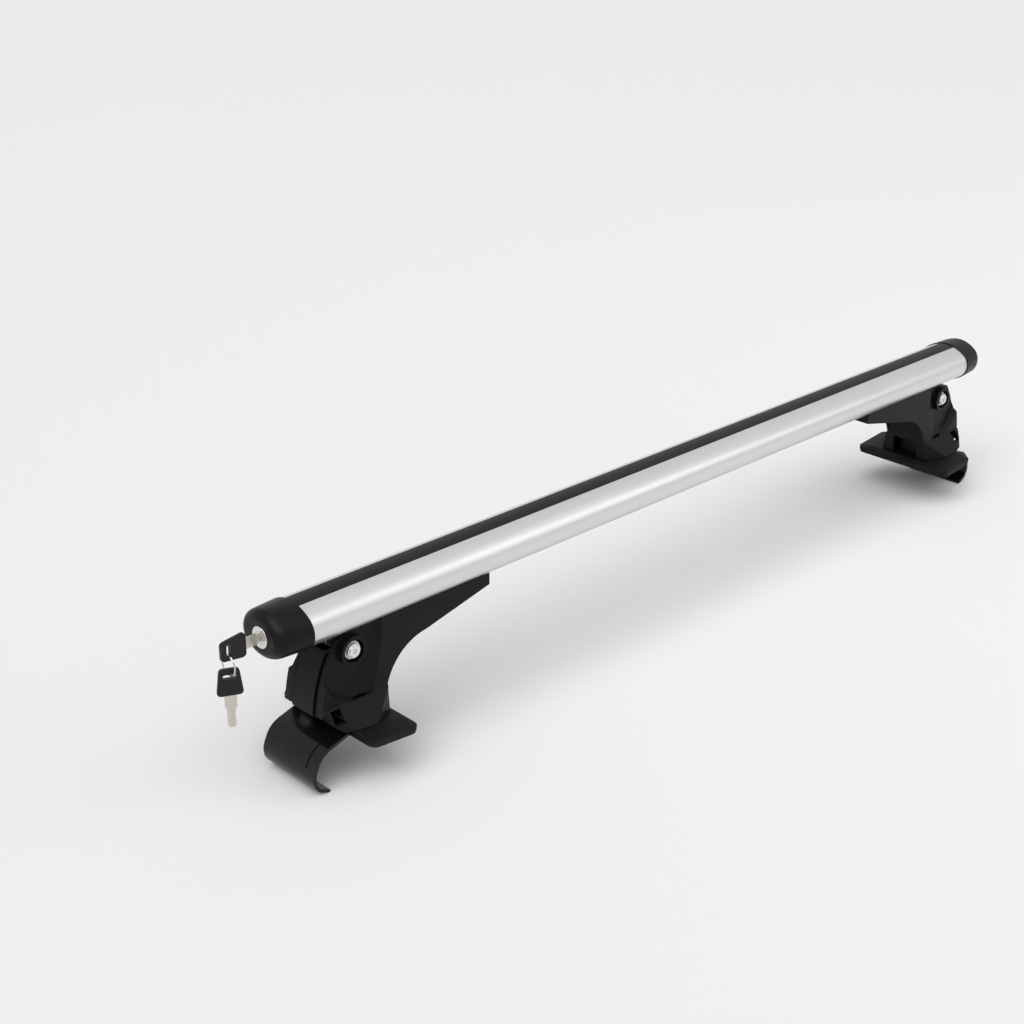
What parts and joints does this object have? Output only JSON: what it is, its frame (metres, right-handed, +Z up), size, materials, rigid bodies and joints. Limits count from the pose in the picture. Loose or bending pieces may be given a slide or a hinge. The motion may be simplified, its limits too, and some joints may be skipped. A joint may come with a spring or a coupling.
{
  "type": "roof rack crossbar",
  "caption": "Roof rack crossbar with an oval aluminium bar, clamp feet with pads and hooks, and a locking end cap with its key",
  "frame": {"origin": "middle of the bar on its lengthwise axis", "axes": "X along the bar from the lock end to the plain end, Y from the front of the bar to its back, Z up"},
  "size_m": [1.2412, 0.14, 0.1963],
  "materials": {
    "bar_aluminium": "satin brushed",
    "strip_rubber": "matte",
    "cap_plastic": "fine textured",
    "lock_nickel": "satin",
    "zinc_steel": "zinc plated",
    "key_nickel": "satin nickel",
    "key_plastic": "soft gloss",
    "ring_steel": "polished",
    "slider_aluminium": "extruded",
    "bolt_chrome": "polished",
    "spacer_plastic": "matte",
    "foot_plastic": "fine textured",
    "hook_paint": "gloss black",
    "pad_rubber": "matte"
  },
  "bodies": {
    "root": {"bar_tube": "bar_aluminium", "top_strip": "strip_rubber", "left_end_plate": "zinc_steel", "left_plate_screws": "zinc_steel", "left_tension_washer": "zinc_steel", "right_end_plate": "zinc_steel", "right_plate_screws": "zinc_steel", "right_tension_washer": "zinc_steel"},
    "lock_cap": {"lock_cap": "cap_plastic", "lock_barrel": "lock_nickel", "barrel_nut": "zinc_steel"},
    "lock_core": {"lock_plug": "lock_nickel", "lock_cam": "zinc_steel", "cam_screw": "zinc_steel"},
    "key": {"key_blade": "key_nickel", "key_head": "key_plastic"},
    "key_ring": {"key_ring": "ring_steel"},
    "spare_key": {"spare_blade": "key_nickel", "spare_head": "key_plastic"},
    "plain_cap": {"plain_cap": "cap_plastic"},
    "left_tension": {"left_tension_bolt": "zinc_steel"},
    "left_slider": {"left_slider": "slider_aluminium"},
    "left_foot": {"left_foot_body": "foot_plastic", "left_foot_core": "foot_plastic", "left_hook": "hook_paint", "left_hook_screws": "zinc_steel", "left_pad": "pad_rubber", "left_pad_screw": "zinc_steel", "left_pivot_bolt": "bolt_chrome", "left_pivot_nut": "zinc_steel", "left_pivot_washers": "zinc_steel", "left_spacers": "spacer_plastic"},
    "right_tension": {"right_tension_bolt": "zinc_steel"},
    "right_slider": {"right_slider": "slider_aluminium"},
    "right_foot": {"right_foot_body": "foot_plastic", "right_foot_core": "foot_plastic", "right_hook": "hook_paint", "right_hook_screws": "zinc_steel", "right_pad": "pad_rubber", "right_pad_screw": "zinc_steel", "right_pivot_bolt": "bolt_chrome", "right_pivot_nut": "zinc_steel", "right_pivot_washers": "zinc_steel", "right_spacers": "spacer_plastic"}
  },
  "joints": [
    {"name": "left_slide", "type": "slide", "parent": "root", "child": "left_slider", "axis": [-1, 0, 0], "range_m": [-0.014, 0.02]},
    {"name": "left_tension_turn", "type": "hinge", "parent": "root", "child": "left_tension", "pos_m": [-0.565, 0, -0.0155], "axis": [1, 0, 0], "range_deg": [-5200, 7400]},
    {"name": "left_pivot", "type": "hinge", "parent": "left_slider", "child": "left_foot", "pos_m": [-0.506, 0, -0.0384], "axis": [0, 1, 0], "range_deg": [0, 20]},
    {"name": "right_slide", "type": "slide", "parent": "root", "child": "right_slider", "axis": [1, 0, 0], "range_m": [-0.014, 0.02]},
    {"name": "right_tension_turn", "type": "hinge", "parent": "root", "child": "right_tension", "pos_m": [0.565, 0, -0.0155], "axis": [-1, 0, 0], "range_deg": [-5200, 7400]},
    {"name": "right_pivot", "type": "hinge", "parent": "right_slider", "child": "right_foot", "pos_m": [0.517, 0, -0.0384], "axis": [0, -1, 0], "range_deg": [0, 20]},
    {"name": "lock_cap_pull", "type": "slide", "parent": "root", "child": "lock_cap", "axis": [-1, 0, 0], "range_m": [0, 0.045]},
    {"name": "plain_cap_pull", "type": "slide", "parent": "root", "child": "plain_cap", "axis": [1, 0, 0], "range_m": [0, 0.045]},
    {"name": "lock_turn", "type": "hinge", "parent": "lock_cap", "child": "lock_core", "pos_m": [-0.59, -0.002, 0], "axis": [-1, 0, 0], "range_deg": [0, 90]},
    {"name": "key_pull", "type": "slide", "parent": "lock_core", "child": "key", "axis": [-1, 0, 0], "range_m": [0, 0.024]},
    {"name": "ring_swing", "type": "hinge", "parent": "key", "child": "key_ring", "pos_m": [-0.6332, -0.002, -0.00522], "axis": [0, 1, 0], "range_deg": [-30, 30]},
    {"name": "spare_swing", "type": "hinge", "parent": "key_ring", "child": "spare_key", "pos_m": [-0.6332, -0.002, -0.02562], "axis": [0, 1, 0], "range_deg": [-30, 30]}
  ],
  "couplings": [
    {"joint": "left_tension_turn", "follows": "left_slide", "rad_per_m": 6283.2},
    {"joint": "right_tension_turn", "follows": "right_slide", "rad_per_m": 6283.2}
  ]
}
